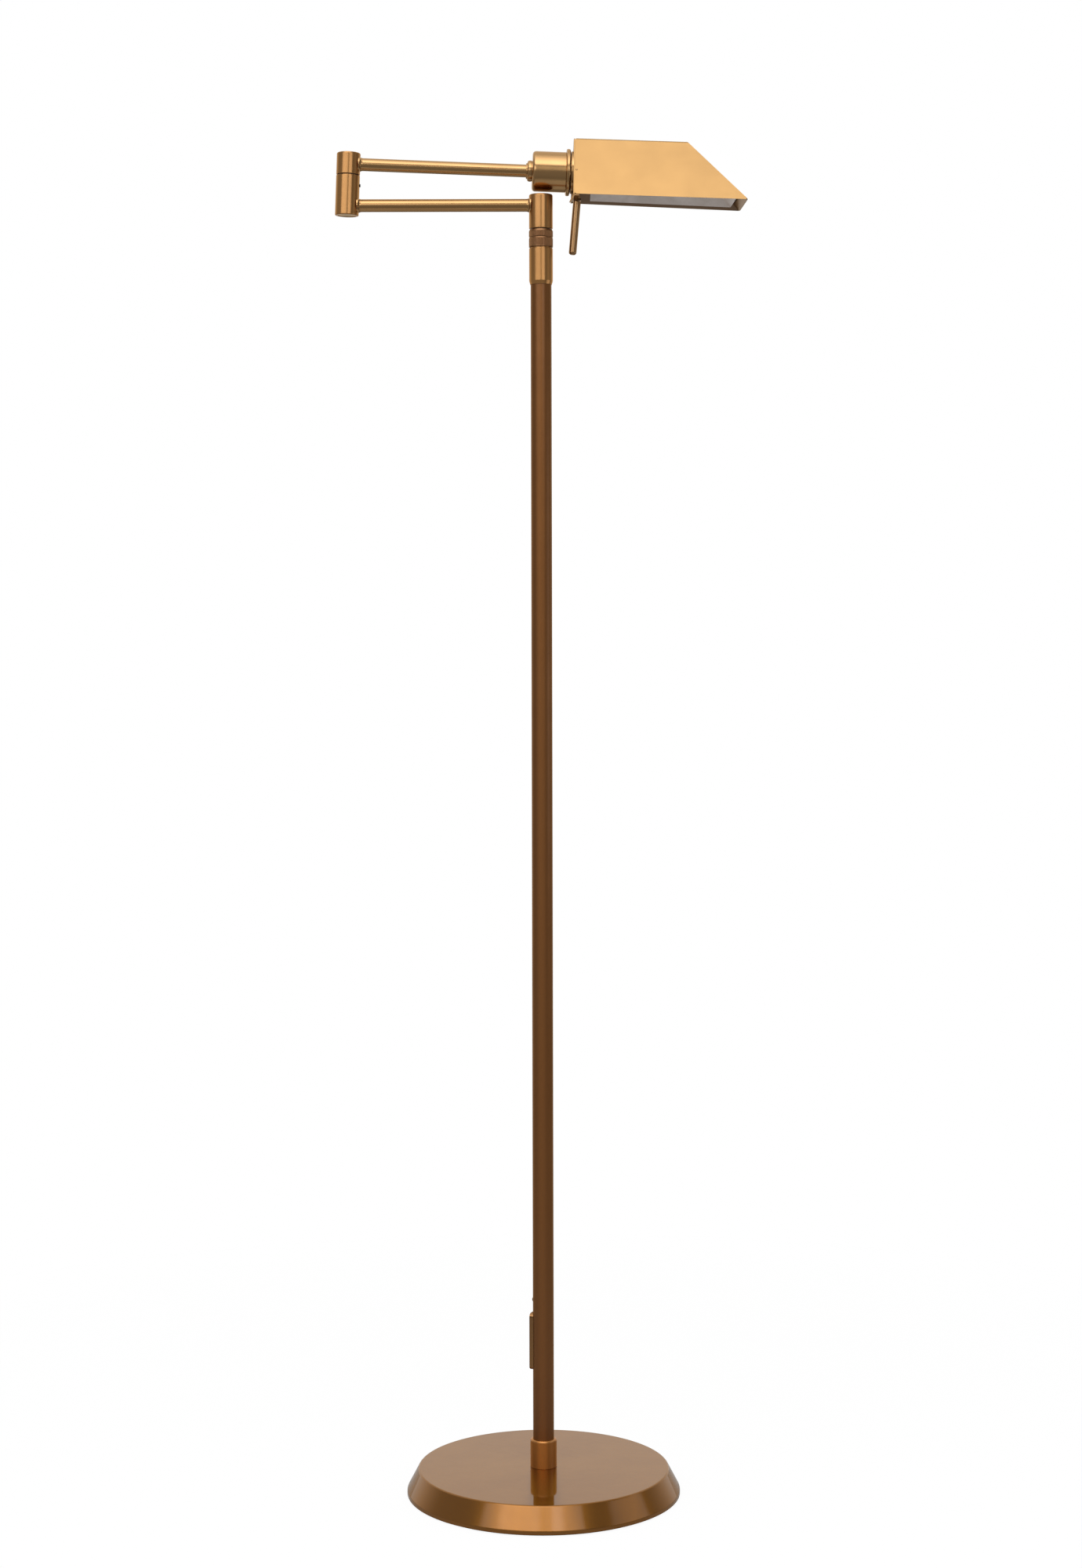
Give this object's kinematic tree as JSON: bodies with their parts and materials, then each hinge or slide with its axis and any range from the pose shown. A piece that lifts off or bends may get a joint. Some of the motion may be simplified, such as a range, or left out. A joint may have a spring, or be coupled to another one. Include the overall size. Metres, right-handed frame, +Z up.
{
  "type": "swing arm floor lamp",
  "caption": "Floor lamp on a round weighted base, with a telescoping column, a folding horizontal arm and a tent-shaped metal shade that turns about the arm.",
  "frame": {"origin": "centre of the round base on the floor, on the axis of the column", "axes": "+Z up along the column, +X from the elbow towards the shade along the folded arm, +Y away from the side with the lamp seen in the picture"},
  "size_m": [0.399, 0.2652, 1.3137],
  "materials": {
    "felt": "matte",
    "spun_brass": "satin",
    "cast": "rough",
    "zinc": "satin",
    "black_rubber": "matte",
    "dark_brass": "satin",
    "mid_brass": "satin",
    "gold_brass": "satin",
    "raw_brass": "satin",
    "light_brass": "satin",
    "nylon": "matte",
    "fibre": "matte",
    "black_plastic": "matte",
    "dark_steel": "satin",
    "porcelain": "gloss",
    "lamp_cap": "gloss",
    "frosted_glass": "matte",
    "liner": "satin"
  },
  "bodies": {
    "stand": {"base_pad": "felt", "base_cover": "spun_brass", "base_weight": "cast", "tie_tube": "zinc", "tie_washer": "zinc", "tie_nut": "zinc", "cord_bush": "black_rubber", "foot_plug": "zinc", "base_collar": "spun_brass", "pole_tube": "dark_brass", "pole_ferrule": "mid_brass", "lock_collet": "nylon", "dimmer_cover": "mid_brass", "dimmer_module": "black_plastic", "dimmer_screw": "mid_brass"},
    "lock": {"lock_ring": "dark_brass"},
    "dimmer_knob": {"dimmer_slider": "black_plastic"},
    "mast": {"mast_tube": "mid_brass", "mast_guide": "nylon", "mast_head": "raw_brass", "hub_washer": "nylon", "mast_lead": "black_rubber"},
    "lower_arm": {"hub": "gold_brass", "hub_cap": "gold_brass", "hub_set_screw": "dark_steel", "lower_arm_tube": "gold_brass", "lower_arm_lead": "black_rubber", "lower_elbow_barrel": "gold_brass", "elbow_bottom_cap": "raw_brass", "elbow_set_screw": "dark_steel"},
    "upper_arm": {"elbow_pin": "raw_brass", "elbow_washer": "fibre", "upper_elbow_barrel": "gold_brass", "elbow_top_cap": "gold_brass", "upper_arm_tube": "gold_brass", "upper_arm_lead": "black_rubber", "cup_collar": "gold_brass", "lamp_cup": "gold_brass", "cup_nut": "raw_brass", "bead_ring": "mid_brass", "lampholder": "porcelain", "holder_contact": "raw_brass", "bulb_cap": "lamp_cap", "bulb_glass": "frosted_glass"},
    "shade": {"pivot_disc": "mid_brass", "pivot_clip": "zinc", "wave_washer": "zinc", "disc_rivets": "mid_brass", "shade_back": "mid_brass", "shade_shell": "light_brass", "shade_rivets": "mid_brass", "reflector": "liner", "reflector_studs": "zinc", "reflector_nuts": "zinc", "handle_bracket": "mid_brass", "bracket_rivets": "mid_brass", "handle_rod": "mid_brass", "handle_nut": "mid_brass"}
  },
  "joints": [
    {"name": "mast_slide", "type": "slide", "parent": "stand", "child": "mast", "axis": [0, 0, 1], "range_m": [0, 0.25]},
    {"name": "lock_twist", "type": "hinge", "parent": "stand", "child": "lock", "pos_m": [0, 0, 1.2155], "axis": [0, 0, 1], "range_deg": [0, 120]},
    {"name": "dimmer_slide", "type": "slide", "parent": "stand", "child": "dimmer_knob", "axis": [0, 0, 1], "range_m": [0, 0.02]},
    {"name": "arm_swivel", "type": "hinge", "parent": "mast", "child": "lower_arm", "pos_m": [0, 0, 1.24805], "axis": [0, 0, 1], "range_deg": [-175, 175]},
    {"name": "elbow_fold", "type": "hinge", "parent": "lower_arm", "child": "upper_arm", "pos_m": [-0.188, 0, 1.24805], "axis": [0.0349, 0, 0.9994], "range_deg": [-178, 172]},
    {"name": "shade_tilt", "type": "hinge", "parent": "upper_arm", "child": "shade", "pos_m": [0.01317, 0.00698, 1.28145], "axis": [0.9988, 0.0349, -0.0349], "range_deg": [-90, 90]}
  ]
}
